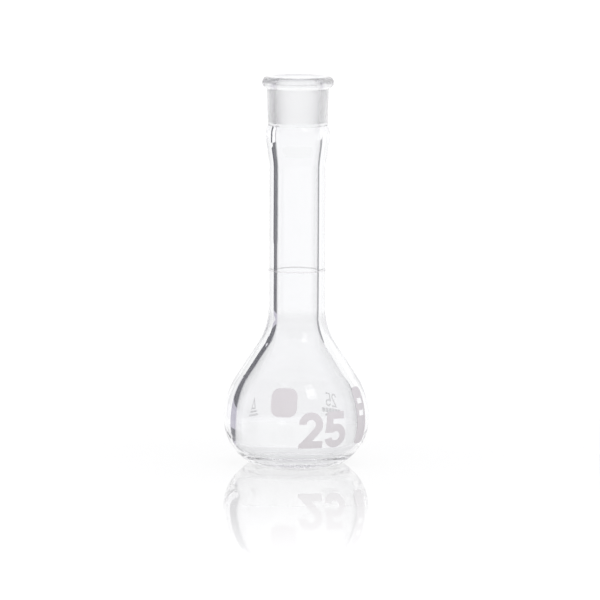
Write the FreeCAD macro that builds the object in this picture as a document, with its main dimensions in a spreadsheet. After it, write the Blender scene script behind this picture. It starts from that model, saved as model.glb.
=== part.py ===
import FreeCAD, Part

# 25 ml volumetric flask with a ground mouth, standing on the floor z = 0 with its axis on Z.
#
# The glass is three blanks sealed end to end: a blown bulb with a foot, a drawn neck tube that
# swells into a collar, and a mouth with a beaded lip and a ground conical socket.
# The marks are thin films of fired enamel on the outside of the glass. The side that carries
# the big figures looks along -Y. An azimuth is counted from there, anticlockwise from above.

import math
import os

import Sketcher
from FreeCAD import Placement, Rotation, Vector

SIZES = (
    # alias, value in mm (or degrees, or a share of something), what it is
    ("flask_height", 111.0, "floor to the crest of the lip"),
    ("bulb_radius", 20.85, "outside, at the widest place"),
    ("widest_height", 13.0, "floor to the widest place"),
    ("foot_radius", 12.3, "outer edge of the flat foot ring"),
    ("foot_width", 2.1, "flat foot ring, measured along a radius"),
    ("heel_radius", 3.0, "rounding from the foot into the side"),
    ("punt_rise", 1.4, "hollow under the base, at its middle"),
    ("punt_edge", 2.5, "rounding between the foot ring and the punt"),
    ("shoulder_rise", 31.7, "widest place to the seam with the neck"),
    ("shoulder_share", 0.48, "shoulder arc, of the largest pair of arcs that fit"),
    ("blend_share", 0.41, "arc from the shoulder into the neck, of the same"),
    ("bulb_wall", 3.38, "glass at the widest place"),
    ("base_glass", 2.2, "floor to the lowest ring of the cavity"),
    ("cavity_drop", 0.87, "top of the cavity's straight side under the widest place"),
    ("cavity_heel_share", 0.66, "arc at the cavity's foot, of its height to the straight's top"),
    ("floor_share", 0.1, "rise of the cavity's floor, of the largest that fits"),
    ("cavity_shoulder_share", 0.55, "arc of the cavity's shoulder, of the largest pair"),
    ("cavity_blend_share", 0.34, "arc from the cavity's shoulder into the bore, of the same"),
    ("blend_drop", 3.3, "end of the inner blend below the seam"),
    ("neck_radius", 8.17, "outside of the neck tube"),
    ("neck_wall", 2.32, "glass of the neck tube"),
    ("flare_length", 9.9, "neck tube to the collar's crest"),
    ("flare_share", 0.45, "each arc of the flare, of the largest pair that fits"),
    ("collar_swell", 0.74, "collar's crest outside the barrel's foot"),
    ("collar_hollow", 0.62, "collar's bore outside the small end of the socket"),
    ("collar_drop", 2.7, "seam with the mouth down to the collar's crest"),
    ("socket_radius", 6.5, "large end of the ground socket"),
    ("socket_length", 11.2, "length of the ground socket"),
    ("socket_taper", 0.1, "change of diameter over length"),
    ("clear_length", 0.7, "clear bore between the ground and the seam"),
    ("mouth_wall", 2.36, "glass round the large end of the socket"),
    ("barrel_taper", 0.26, "barrel's foot inside its top"),
    ("lip_overhang", 1.44, "lip outside the barrel's top"),
    ("bead_radius", 1.7, "section of the beaded lip"),
    ("bead_fillet", 0.6, "fillet under the bead"),
    ("film", 0.08, "thickness of the fired enamel"),
    ("mark_height", 55.5, "floor to the middle of the filling mark"),
    ("mark_width", 0.42, "filling mark"),
    ("figures_azimuth", 22.5, "middle of the two big figures"),
    ("figure_base", 6.5, "floor to the foot of the big figures"),
    ("figure_height", 10.4, "big figures"),
    ("figure_width", 6.9, "big figures"),
    ("figure_stroke", 2.1, "big figures"),
    ("mark_gap", 0.8, "between marks that stand side by side"),
    ("spot_width", 7.5, "writing spot"),
    ("spot_height", 8.0, "writing spot"),
    ("spot_corner", 2.4, "writing spot"),
    ("spot_base", 15.5, "floor to the foot of the writing spot"),
    ("panel_offset", 4.8, "big figures to the side panel, round the bulb"),
    ("panel_width", 5.0, "side panel"),
    ("panel_height", 16.2, "side panel"),
    ("panel_corner", 1.6, "side panel"),
    ("panel_base", 6.7, "floor to the foot of the side panel"),
    ("slot_width", 2.6, "slots in the side panel"),
    ("slot_height", 1.5, "slots in the side panel"),
    ("slot_drop", 5.6, "top of the side panel to the middle of its slots"),
    ("slot_pitch", 3.4, "slots in the side panel"),
    ("class_azimuth", 224.0, "class mark"),
    ("class_base", 13.7, "floor to the foot of the class triangle"),
    ("class_width", 2.3, "class triangle"),
    ("class_height", 3.5, "class triangle"),
    ("class_line", 0.42, "line of the class triangle"),
    ("bar_height", 0.5, "bars that stand for fine print"),
    ("bar_gap", 0.45, "beside or under a bar"),
    ("bar_length", 4.4, "longest bar"),
    ("back_azimuth", 145.5, "middle of the marks on the back"),
    ("small_base", 14.1, "floor to the foot of the small figures"),
    ("small_height", 3.8, "small figures"),
    ("small_width", 2.05, "small figures"),
    ("small_stroke", 0.46, "small figures"),
    ("block_height", 1.15, "row of blocks under the small figures"),
    ("block_width", 1.05, "row of blocks under the small figures"),
)
BLOCK_COUNT = 6  # blocks in the row on the back
SLOT_COUNT = 2  # slots in the side panel
BAR_SHARES = (0.7, 1.0)  # lengths of the class bars
TWO_HEEL = 0.45  # left end of the slant of a 2 over its base, as a share of the stroke
FIVE_LEAN = 0.35  # foot of the stem of a 5 outside its top, as a share of the stroke
FIVE_STEM_FOOT = 0.7  # foot of the stem over the bowl's middle, as a share of its inner radius
FIVE_TERMINAL = math.radians(196)  # where the bowl of a 5 ends, counted from its right
FULL_TURN = 360.0
SAME_PLACE = 1e-4  # two points closer than this are one


class Measure:
    """A size held twice: as a number, and as the formula that ties it to the sheet."""

    def __init__(self, value, formula):
        self.value = value
        self.formula = formula

    @classmethod
    def of(cls, size):
        """A measure as it is, or a plain number as a measure."""
        return size if isinstance(size, cls) else cls(float(size), repr(float(size)))

    def _join(self, sign, other, value):
        return Measure(value, f"({self.formula} {sign} {other.formula})")

    def __add__(self, other):
        other = self.of(other)
        return self._join("+", other, self.value + other.value)

    def __sub__(self, other):
        other = self.of(other)
        return self._join("-", other, self.value - other.value)

    def __mul__(self, other):
        other = self.of(other)
        return self._join("*", other, self.value * other.value)

    def __truediv__(self, other):
        other = self.of(other)
        return self._join("/", other, self.value / other.value)

    def __neg__(self):
        return self * -1

    def root(self):
        """Its square root."""
        return Measure(math.sqrt(self.value), f"sqrt({self.formula})")

    def size(self):
        """The measure without its sign."""
        return Measure(abs(self.value), f"abs({self.formula})")


class Sheet:
    """The spreadsheet of sizes. Each alias is also an attribute that gives its measure."""

    NAME = "Sizes"

    def __init__(self, document, rows):
        sheet = document.addObject("Spreadsheet::Sheet", self.NAME)
        for row, (alias, value, meaning) in enumerate(rows, start=1):
            sheet.set(f"A{row}", alias)
            sheet.set(f"B{row}", repr(value))
            sheet.set(f"C{row}", meaning)
            sheet.setAlias(f"B{row}", alias)
            setattr(self, alias, Measure(value, f"{self.NAME}.{alias}"))
        document.recompute()


class Outline:
    """Closed loops of lines and arcs in a sketch, drawn edge by edge and tied to the sheet."""

    START, END, CENTRE = 1, 2, 3
    MIDDLE = (-1, 1)  # the sketch's own origin
    ACROSS, UP = -1, -2  # the sketch's own axes

    def __init__(self, body, name, plane="XZ_Plane"):
        self.sketch = body.newObject("Sketcher::SketchObject", name)
        support = next(f for f in body.Origin.OriginFeatures if f.Role == plane)
        self.sketch.AttachmentSupport = (support, [""])
        self.sketch.MapMode = "FlatFace"

    def begin(self, x, y):
        """Starts a loop at a point."""
        self.here = Vector(Measure.of(x).value, Measure.of(y).value, 0)
        self.edges = []
        self.smooth_next = False

    def smooth(self):
        """Makes the next edge carry on from the last one without a corner."""
        self.smooth_next = True

    def constrain(self, *words):
        """Adds a constraint and gives its number."""
        return self.sketch.addConstraint(Sketcher.Constraint(*words))

    def drive(self, kind, where, measure):
        """Adds a dimension that the sheet drives."""
        number = self.constrain(kind, *where, measure.value)
        self.sketch.setExpression(f"Constraints[{number}]", measure.formula)

    def _append(self, curve, start, end):
        """Adds a curve. start and end number its ends in the order they are walked."""
        edge = (self.sketch.addGeometry(curve, False), start, end)
        if self.edges:
            last = self.edges[-1]
            kind = "Tangent" if self.smooth_next else "Coincident"
            self.constrain(kind, last[0], last[2], edge[0], edge[1])
        self.smooth_next = False
        self.edges.append(edge)
        return edge

    def line(self, x, y, along=None):
        """A straight edge to a point. along may be "Horizontal" or "Vertical"."""
        end = Vector(Measure.of(x).value, Measure.of(y).value, 0)
        edge = self._append(Part.LineSegment(self.here, end), self.START, self.END)
        if along is not None:
            self.constrain(along, edge[0])
        self.here = end
        return edge

    def arc(self, centre, x, y, clockwise):
        """An arc to a point, round a centre."""
        middle = Vector(Measure.of(centre[0]).value, Measure.of(centre[1]).value, 0)
        end = Vector(Measure.of(x).value, Measure.of(y).value, 0)
        circle = Part.Circle(middle, Vector(0, 0, 1), (self.here - middle).Length)
        angles = [math.atan2(p.y - middle.y, p.x - middle.x) for p in (self.here, end)]
        if clockwise:
            angles.reverse()
        ends = (self.END, self.START) if clockwise else (self.START, self.END)
        edge = self._append(Part.ArcOfCircle(circle, *angles), *ends)
        self.here = end
        return edge

    def close(self):
        """Ties the last edge's end to the first edge's start."""
        first, last = self.edges[0], self.edges[-1]
        self.constrain("Coincident", last[0], last[2], first[0], first[1])

    def place(self, edge, end, across=None, up=None):
        """Drives where an edge starts (end 0), ends (end 1) or has its centre (end 2)."""
        vertex = (edge[0], (edge[1], edge[2], self.CENTRE)[end])
        if across is not None:
            self._offset("DistanceX", vertex, across, self.UP)
        if up is not None:
            self._offset("DistanceY", vertex, up, self.ACROSS)

    def _offset(self, kind, vertex, measure, axis):
        if measure == 0:
            self.constrain("PointOnObject", *vertex, axis)
        else:
            self.drive(kind, (*self.MIDDLE, *vertex), Measure.of(measure))

    def radius(self, edge, measure):
        """Drives an arc's radius."""
        self.drive("Radius", (edge[0],), measure)

    def upright(self, edge, end):
        """Keeps an arc's centre level with its end, so that the profile is upright there."""
        self.constrain("Horizontal", edge[0], edge[1 + end], edge[0], self.CENTRE)

    def polygon(self, corners):
        """A loop of straight edges through corners, each an (x, y) of measures."""
        self.begin(*corners[-1])
        for x, y in corners:
            self.place(self.line(x, y), 1, across=x, up=y)
        self.close()

    def box(self, x, y, width, height):
        """An upright rectangle round a middle."""
        x, y = Measure.of(x), Measure.of(y)
        sides = ((1, -1), (1, 1), (-1, 1), (-1, -1))
        self.polygon([(x + width * (i / 2), y + height * (j / 2)) for i, j in sides])

    def bend(self, low, low_radius, high, high_radius):
        """Arc, straight stretch and arc between two points where the profile is upright.

        low is the lower point, and the walk may start from either. The arc at the wider point
        is centred on its axis side, the other on its outer side.
        """
        outward = 1 if high[0].value > low[0].value else -1
        low_middle = (low[0].value + outward * low_radius.value, low[1].value)
        high_middle = (high[0].value - outward * high_radius.value, high[1].value)
        across, along = (high_middle[k] - low_middle[k] for k in (0, 1))
        radii = low_radius.value + high_radius.value
        lean = math.acos(radii / math.hypot(across, along))
        angle = math.atan2(along, across) + outward * lean
        toward = (math.cos(angle), math.sin(angle))
        low_end = [low_middle[k] + low_radius.value * toward[k] for k in (0, 1)]
        high_end = [high_middle[k] - high_radius.value * toward[k] for k in (0, 1)]
        ends = [(low_middle, low_end, low, low_radius), (high_middle, high_end, high, high_radius)]
        turns = [outward > 0, outward < 0]
        if abs(self.here.y - low[1].value) > abs(self.here.y - high[1].value):
            ends.reverse()
        first, last = ends
        start = self.arc(first[0], *first[1], clockwise=turns[0])
        self.smooth()
        self.line(*last[1])
        self.smooth()
        stop = self.arc(last[0], *last[2], clockwise=turns[1])
        self.radius(start, first[3])
        self.radius(stop, last[3])
        self.upright(start, 0)
        self.upright(stop, 1)
        return start, stop


def largest_pair(low, high):
    """Sum of the radii of the largest two arcs that join two upright points of a profile."""
    across = (low[0] - high[0]).size()
    along = high[1] - low[1]
    return (across * across + along * along) / (across * 2)


def touch_inside(big_middle, big_radius, small_middle, small_radius):
    """Where a circle touches a larger one from inside."""
    share = big_radius / (big_radius - small_radius)
    return [big_middle[k] + (small_middle[k] - big_middle[k]) * share for k in (0, 1)]


document = FreeCAD.newDocument("volumetric_flask")
size = Sheet(document, SIZES)

# heights and radii that several pieces share

cavity_radius = size.bulb_radius - size.bulb_wall
bore_radius = size.neck_radius - size.neck_wall
socket_foot = size.socket_radius - size.socket_length * size.socket_taper / 2
barrel_top = size.socket_radius + size.mouth_wall
barrel_foot = barrel_top - size.barrel_taper
bead_middle = barrel_top + size.lip_overhang - size.bead_radius
mouth_flare = bead_middle - size.socket_radius
socket_top = size.flask_height - mouth_flare
neck_seam = size.widest_height + size.shoulder_rise
mouth_seam = socket_top - size.socket_length - size.clear_length
crest_height = mouth_seam - size.collar_drop
flare_foot = crest_height - size.flare_length


def new_body(label):
    """A body whose name and label are the piece's."""
    body = document.addObject("PartDesign::Body", label)
    body.Label = label
    return body


def turned(body, outline):
    """Turns an outline round the flask's axis."""
    solid = body.newObject("PartDesign::Revolution", "Turned")
    solid.Profile = outline.sketch
    solid.ReferenceAxis = (outline.sketch, ["V_Axis"])
    solid.Angle = FULL_TURN
    document.recompute()
    return solid


def round_off(body, base, names, radius):
    """Rounds the named edges of a feature."""
    fillet = body.newObject("PartDesign::Fillet", "Rounded")
    fillet.Base = (base, names)
    fillet.Radius = radius.value
    fillet.setExpression("Radius", radius.formula)
    document.recompute()


def circles_at(feature, radius, height):
    """Names of a turned solid's edges that run round the axis at a radius and height."""
    names = []
    for number, edge in enumerate(feature.Shape.Edges, start=1):
        if edge.Degenerated or not isinstance(edge.Curve, Part.Circle):
            continue
        corner = (edge.Curve.Radius, edge.Curve.Center.z)
        if math.dist(corner, (radius.value, height.value)) < SAME_PLACE:
            names.append(f"Edge{number}")
    return names


# ---- the glass ------------------------------------------------------------------------------


def bulb_side(outline, skin):
    """The bulb's outside from its foot ring to the neck seam, moved outward by skin."""
    widest = (size.bulb_radius + skin, size.widest_height)
    seam = (size.neck_radius + skin, neck_seam)
    heel = size.heel_radius + skin
    heel_middle = (size.foot_radius, size.heel_radius)
    across = widest[0].value - heel_middle[0].value
    along = widest[1].value - heel_middle[1].value
    side = (across**2 + along**2 - heel.value**2) / (2 * (across - heel.value))
    side_middle = (widest[0].value - side, widest[1].value)
    corner = [measure.value for measure in heel_middle]
    heel_arc = outline.arc(
        heel_middle, *touch_inside(side_middle, side, corner, heel.value), clockwise=False
    )
    outline.place(heel_arc, 2, across=heel_middle[0], up=heel_middle[1])
    outline.smooth()
    side_arc = outline.arc(side_middle, *widest, clockwise=False)
    outline.place(side_arc, 1, across=widest[0], up=widest[1])
    outline.upright(side_arc, 1)
    pair = largest_pair((size.bulb_radius, size.widest_height), (size.neck_radius, neck_seam))
    shoulder = pair * size.shoulder_share + skin
    blend = pair * size.blend_share - skin
    _, last = outline.bend(widest, shoulder, seam, blend)
    outline.place(last, 1, across=seam[0], up=seam[1])


def bulb_cavity(outline):
    """The bulb's inside from the neck seam down to the middle of its floor."""
    start = (bore_radius, neck_seam - size.blend_drop)
    side_top = (cavity_radius, size.widest_height - size.cavity_drop)
    heel = (side_top[1] - size.base_glass) * size.cavity_heel_share
    side_foot = size.base_glass + heel
    bore = outline.line(*start, along="Vertical")
    outline.place(bore, 1, up=start[1])
    pair = largest_pair(side_top, start)
    shoulder, blend = pair * size.cavity_shoulder_share, pair * size.cavity_blend_share
    _, last = outline.bend(side_top, shoulder, start, blend)
    outline.place(last, 1, across=side_top[0], up=side_top[1])
    side = outline.line(cavity_radius, side_foot, along="Vertical")
    outline.place(side, 1, up=side_foot)
    outline.smooth()
    reach = cavity_radius - heel
    rise = reach * reach / heel * size.floor_share / 2
    heel_middle = (reach.value, side_foot.value)
    apex = size.base_glass + rise
    drop = side_foot.value - apex.value
    dome = (reach.value**2 + drop**2 - heel.value**2) / (2 * rise.value)
    dome_middle = (0.0, apex.value - dome)
    meeting = touch_inside(dome_middle, dome, heel_middle, -heel.value)
    heel_arc = outline.arc(heel_middle, *meeting, clockwise=True)
    outline.radius(heel_arc, heel)
    outline.smooth()
    floor = outline.arc(dome_middle, 0, apex, clockwise=False)
    outline.place(floor, 1, across=0, up=apex)
    outline.place(floor, 2, across=0)


def make_bulb():
    """Blown bulb with a foot ring, a punt, a thick heel and the cavity inside."""
    body = new_body("bulb")
    foot_inner = size.foot_radius - size.foot_width
    rise = size.punt_rise
    punt = (foot_inner.value**2 + rise.value**2) / (2 * rise.value)
    outline = Outline(body, "Wall")
    outline.begin(0, rise)
    punt_arc = outline.arc((0, rise.value - punt), foot_inner, 0, clockwise=True)
    outline.place(punt_arc, 0, across=0, up=rise)
    outline.place(punt_arc, 1, across=foot_inner, up=0)
    outline.place(punt_arc, 2, across=0)
    outline.line(size.foot_radius, 0, along="Horizontal")
    outline.smooth()
    bulb_side(outline, Measure.of(0))
    seam = outline.line(bore_radius, neck_seam, along="Horizontal")
    outline.place(seam, 1, across=bore_radius)
    bulb_cavity(outline)
    outline.line(0, rise)
    outline.close()
    wall = turned(body, outline)
    round_off(body, wall, circles_at(wall, foot_inner, Measure.of(0)), size.punt_edge)
    return body


def make_bulb_form(label, skin):
    """The bulb's outside as a solid form, moved outward by skin."""
    body = new_body(label)
    outline = Outline(body, "Side")
    outline.begin(0, -skin)
    base = outline.line(size.foot_radius, -skin, along="Horizontal")
    outline.place(base, 0, across=0, up=-skin)
    outline.smooth()
    bulb_side(outline, skin)
    top = outline.line(0, neck_seam, along="Horizontal")
    outline.place(top, 1, across=0)
    outline.line(0, -skin)
    outline.close()
    turned(body, outline)
    return body


def curl(outline, crest, seam, upward):
    """Arc between a crest, where the profile is upright, and a seam above it."""
    inward, rise = crest[0].value - seam[0].value, seam[1].value - crest[1].value
    radius = (inward**2 + rise**2) / (2 * inward)
    end = seam if upward else crest
    anticlockwise = (inward > 0) == upward
    edge = outline.arc((crest[0].value - radius, crest[1]), *end, clockwise=not anticlockwise)
    outline.upright(edge, 0 if upward else 1)
    outline.place(edge, 1, across=end[0], up=end[1])


def make_neck_tube():
    """Drawn tube that swells into a collar, whose top curls in to the seam with the mouth."""
    body = new_body("neck_tube")
    outline = Outline(body, "Wall")
    outline.begin(size.neck_radius, neck_seam)
    outside = outline.line(size.neck_radius, flare_foot, along="Vertical")
    outline.place(outside, 0, across=size.neck_radius, up=neck_seam)
    outline.place(outside, 1, up=flare_foot)
    walls = (
        (size.neck_radius, barrel_foot + size.collar_swell, barrel_foot),
        (bore_radius, socket_foot + size.collar_hollow, socket_foot),
    )
    for upward, (tube, swollen, end) in zip((True, False), walls):
        foot, crest, seam = (tube, flare_foot), (swollen, crest_height), (end, mouth_seam)
        arc = largest_pair(foot, crest) * size.flare_share
        if upward:
            _, last = outline.bend(foot, arc, crest, arc)
            outline.place(last, 1, across=crest[0], up=crest[1])
            curl(outline, crest, seam, upward)
            across = outline.line(socket_foot, mouth_seam, along="Horizontal")
            outline.place(across, 1, across=socket_foot)
        else:
            curl(outline, crest, seam, upward)
            _, last = outline.bend(foot, arc, crest, arc)
            outline.place(last, 1, across=foot[0], up=foot[1])
    outline.line(bore_radius, neck_seam, along="Vertical")
    outline.line(size.neck_radius, neck_seam, along="Horizontal")
    outline.close()
    turned(body, outline)
    return body


def make_ground_socket():
    """Mouth: barrel, beaded lip, fire-polished flare and the ground conical bore."""
    body = new_body("ground_socket")
    bead_height = size.flask_height - size.bead_radius
    inset = size.bead_radius - size.lip_overhang
    lip_foot = bead_height - (size.bead_radius * size.bead_radius - inset * inset).root()
    outline = Outline(body, "Wall")
    outline.begin(barrel_foot, mouth_seam)
    barrel = outline.line(barrel_top, lip_foot)
    outline.place(barrel, 0, across=barrel_foot, up=mouth_seam)
    outline.place(barrel, 1, across=barrel_top)
    lip = outline.arc((bead_middle, bead_height), bead_middle, size.flask_height, False)
    outline.radius(lip, size.bead_radius)
    outline.place(lip, 1, across=bead_middle, up=size.flask_height)
    outline.place(lip, 2, across=bead_middle)
    mouth = outline.arc((bead_middle, socket_top), size.socket_radius, socket_top, False)
    outline.place(mouth, 1, across=size.socket_radius)
    outline.place(mouth, 2, across=bead_middle)
    outline.upright(mouth, 1)
    ground_end = socket_top - size.socket_length
    ground = outline.line(socket_foot, ground_end)
    outline.place(ground, 1, across=socket_foot, up=ground_end)
    outline.line(socket_foot, mouth_seam, along="Vertical")
    outline.line(barrel_foot, mouth_seam, along="Horizontal")
    outline.close()
    wall = turned(body, outline)
    round_off(body, wall, circles_at(wall, barrel_top, lip_foot), size.bead_fillet)
    return body


# ---- the enamel -----------------------------------------------------------------------------


def make_graduation_ring():
    """The filling mark: a line of enamel right round the neck."""
    body = new_body("graduation_ring")
    outline = Outline(body, "Line")
    middle = size.neck_radius + size.film / 2
    outline.box(middle, size.mark_height, size.film, size.mark_width)
    turned(body, outline)
    return body


def round_bulb(length):
    """An arc length round the bulb's widest place as an angle in degrees."""
    return length / size.bulb_radius * math.degrees(1)


def stencil(label, azimuth):
    """A body turned to a mark's azimuth, and the empty outline of the mark in it."""
    body = new_body(f"{label}_stencil")
    body.Placement = Placement(Vector(0, 0, 0), Rotation(Vector(0, 0, 1), azimuth.value))
    body.setExpression(".Placement.Rotation.Angle", azimuth.formula)
    return body, Outline(body, "Mark")


def printed(label, body, outline, corner=None):
    """Pads a mark outward through the enamel and keeps what the two have in common."""
    reach = size.bulb_radius + size.film * 2
    pad = body.newObject("PartDesign::Pad", "Through")
    pad.Profile = outline.sketch
    pad.Length = reach.value
    pad.setExpression("Length", reach.formula)
    document.recompute()
    if corner is not None:
        box = pad.Shape.BoundBox
        outer = []
        for number, edge in enumerate(pad.Shape.Edges, start=1):
            upright = edge.BoundBox.YLength > reach.value / 2
            if upright and abs(abs(edge.CenterOfMass.x) - box.XMax) < SAME_PLACE:
                outer.append(f"Edge{number}")
        round_off(body, pad, outer, corner)
    mark = document.addObject("Part::Common", label)
    mark.Label = label
    mark.Base = enamel
    mark.Tool = body
    return mark


def figure_two(outline, width, height, stroke, base):
    """A plain figure 2: bowl, slanting stroke and foot."""
    half = width / 2
    inner = half - stroke
    middle = base + height - half
    heel = base + stroke * TWO_HEEL
    # the slant runs from the heel along the bowl's inner circle, which sets its direction
    corner = (-half.value, heel.value - middle.value)
    turn = math.atan2(corner[1], corner[0]) + math.acos(inner.value / math.hypot(*corner))
    away = (math.cos(turn), math.sin(turn))
    outline.begin(-inner, middle)
    outline.line(-half, middle, along="Horizontal")
    bowl_end = (half.value * away[0], middle.value + half.value * away[1])
    bowl = outline.arc((0, middle), *bowl_end, clockwise=True)
    outline.radius(bowl, half)
    outline.place(bowl, 0, up=middle)
    outline.place(bowl, 2, across=0, up=middle)
    outline.smooth()
    foot_top = base + stroke
    run = (foot_top.value - bowl_end[1]) / away[0]
    slope = outline.line(bowl_end[0] - run * away[1], foot_top)
    foot = outline.line(half, foot_top, along="Horizontal")
    outline.place(foot, 1, across=half, up=foot_top)
    outline.line(half, base, along="Vertical")
    bottom = outline.line(-half, base, along="Horizontal")
    outline.place(bottom, 1, across=-half, up=base)
    left = outline.line(-half, heel, along="Vertical")
    outline.place(left, 1, up=heel)
    back = outline.line(inner.value * away[0], middle.value + inner.value * away[1])
    outline.smooth()
    hollow = outline.arc((0, middle), -inner, middle, clockwise=False)
    outline.radius(hollow, inner)
    outline.constrain("Coincident", hollow[0], outline.CENTRE, bowl[0], outline.CENTRE)
    outline.constrain("Parallel", back[0], slope[0])
    outline.close()


def figure_five(outline, width, height, stroke, base):
    """A plain figure 5: flag, leaning stem and bowl."""
    half = width / 2
    inner = half - stroke
    middle = base + half
    lean = stroke * FIVE_LEAN
    top = base + height
    stem_foot = middle + inner * FIVE_STEM_FOOT
    join = stroke + lean / 2 - half
    end = (math.cos(FIVE_TERMINAL), math.sin(FIVE_TERMINAL))
    outline.begin(half - lean, top)
    edge = outline.line(lean - half, top, along="Horizontal")
    outline.place(edge, 1, across=lean - half)
    stem = outline.line(-half, stem_foot)
    outline.place(stem, 1, across=-half, up=stem_foot)
    notch = -math.sqrt(inner.value**2 - (stem_foot.value - middle.value) ** 2)
    outline.line(notch, stem_foot, along="Horizontal")
    hollow_end = (inner.value * end[0], middle.value + inner.value * end[1])
    hollow = outline.arc((0, middle), *hollow_end, clockwise=True)
    outline.radius(hollow, inner)
    outline.place(hollow, 2, across=0, up=middle)
    terminal = outline.line(half.value * end[0], middle.value + half.value * end[1])
    outline.constrain("Angle", terminal[0], FIVE_TERMINAL)
    outline.constrain("PointOnObject", hollow[0], outline.CENTRE, terminal[0])
    bowl_end = middle.value + math.sqrt(half.value**2 - join.value**2)
    bowl = outline.arc((0, middle), join, bowl_end, clockwise=False)
    outline.radius(bowl, half)
    outline.constrain("Coincident", bowl[0], outline.CENTRE, hollow[0], outline.CENTRE)
    rise = outline.line(join, top - stroke, along="Vertical")
    outline.place(rise, 1, across=join, up=top - stroke)
    outline.line(half - lean, top - stroke, along="Horizontal")
    flag = outline.line(half - lean, top, along="Vertical")
    outline.place(flag, 1, across=half - lean, up=top)
    outline.close()


def make_figure(label, draw, azimuth, width, height, stroke, base):
    """One enamel figure, drawn by draw."""
    body, outline = stencil(label, azimuth)
    draw(outline, width, height, stroke, base)
    return printed(label, body, outline)


def make_marking_spot(figures_left):
    """Writing spot beside the big figures: a plain patch with round corners."""
    azimuth = figures_left - round_bulb(size.mark_gap / 2 + size.spot_width / 2)
    body, outline = stencil("marking_spot", azimuth)
    middle = size.spot_base + size.spot_height / 2
    outline.box(0, middle, size.spot_width, size.spot_height)
    return printed("marking_spot", body, outline, corner=size.spot_corner)


def make_side_panel(figures_right):
    """Panel on the side, past the big figures, with plain slots in it."""
    azimuth = figures_right + round_bulb(size.panel_offset + size.panel_width / 2)
    body, outline = stencil("side_panel", azimuth)
    middle = size.panel_base + size.panel_height / 2
    outline.box(0, middle, size.panel_width, size.panel_height)
    slots = size.panel_base + size.panel_height - size.slot_drop
    for number in range(SLOT_COUNT):
        step = (SLOT_COUNT - 1) / 2 - number
        outline.box(0, slots + size.slot_pitch * step, size.slot_width, size.slot_height)
    return printed("side_panel", body, outline, corner=size.panel_corner)


def make_class_triangle():
    """Accuracy class mark: an open triangle."""
    body, outline = stencil("class_triangle", size.class_azimuth)
    half, tall, base, line = size.class_width / 2, size.class_height, size.class_base, size.class_line
    outline.polygon([(half, base), (Measure.of(0), base + tall), (-half, base)])
    # each side of the opening lies one line's width inside an outer side
    side = (half * half + tall * tall).root()
    top = tall - line * side / half
    inner = half * (top - line) / tall
    corners = [(inner, base + line), (Measure.of(0), base + top), (-inner, base + line)]
    outline.polygon(corners)
    return printed("class_triangle", body, outline)


def make_class_bars():
    """Bars under the class triangle, in place of its fine print."""
    body, outline = stencil("class_bars", size.class_azimuth)
    for row, share in enumerate(BAR_SHARES, start=1):
        level = size.class_base - (size.bar_height + size.bar_gap) * row + size.bar_height / 2
        outline.box(0, level, size.bar_length * share, size.bar_height)
    return printed("class_bars", body, outline)


def make_back_blocks():
    """Row of plain blocks over a bar, in place of the print on the back."""
    body, outline = stencil("back_blocks", size.back_azimuth)
    pitch = size.block_width + size.bar_gap / 2
    level = size.small_base - size.bar_gap - size.block_height / 2
    for number in range(BLOCK_COUNT):
        step = number - (BLOCK_COUNT - 1) / 2
        outline.box(pitch * step, level, size.block_width, size.block_height)
    under = level - size.block_height / 2 - size.bar_gap - size.bar_height / 2
    outline.box(0, under, pitch * (BLOCK_COUNT - 2), size.bar_height)
    return printed("back_blocks", body, outline)


pieces = [make_bulb(), make_neck_tube(), make_ground_socket(), make_graduation_ring()]

enamel = document.addObject("Part::Cut", "enamel_skin")
enamel.Base = make_bulb_form("enamel_form", size.film)
enamel.Tool = make_bulb_form("bulb_form", Measure.of(0))

big_step = round_bulb(size.figure_width + size.mark_gap)
small_step = round_bulb(size.small_width + size.bar_gap)
big = (size.figure_width, size.figure_height, size.figure_stroke, size.figure_base)
small = (size.small_width, size.small_height, size.small_stroke, size.small_base)
for family, middle, step, sizes in (
    ("capacity_figure", size.figures_azimuth, big_step, big),
    ("back_figure", size.back_azimuth, small_step, small),
):
    pieces.append(make_figure(f"{family}_2", figure_two, middle - step / 2, *sizes))
    pieces.append(make_figure(f"{family}_5", figure_five, middle + step / 2, *sizes))
pieces.append(make_marking_spot(size.figures_azimuth - big_step))
pieces.append(make_side_panel(size.figures_azimuth + big_step))
pieces += [make_class_triangle(), make_class_bars(), make_back_blocks()]

document.recompute()
for item in document.Objects:
    if "Invalid" in item.State or "Error" in item.State:
        raise RuntimeError(f"{item.Label} did not build: {item.State}")
    if item.TypeId == "Sketcher::SketchObject" and not item.FullyConstrained:
        raise RuntimeError(f"a sketch of {item.getParentGeoFeatureGroup().Label} is free to move")

os.makedirs("parts", exist_ok=True)
for piece in pieces:
    shape = piece.Shape
    if shape.isNull() or not shape.isValid() or not shape.Solids:
        raise RuntimeError(f"{piece.Label} has no valid solid")
    shape.exportStep(os.path.join("parts", f"{piece.Label}.step"))
    print(f"{piece.Label}: {len(shape.Solids)} solid(s), {shape.Volume:.2f} mm3")
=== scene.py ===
"""Looks of a 25 ml volumetric flask, in metres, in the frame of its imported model."""

import logging
import math
from dataclasses import dataclass, field
from enum import Enum
from typing import Any, Callable, Iterable, Optional, Sequence

import bmesh
import bpy
from mathutils import Matrix, Vector


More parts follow.
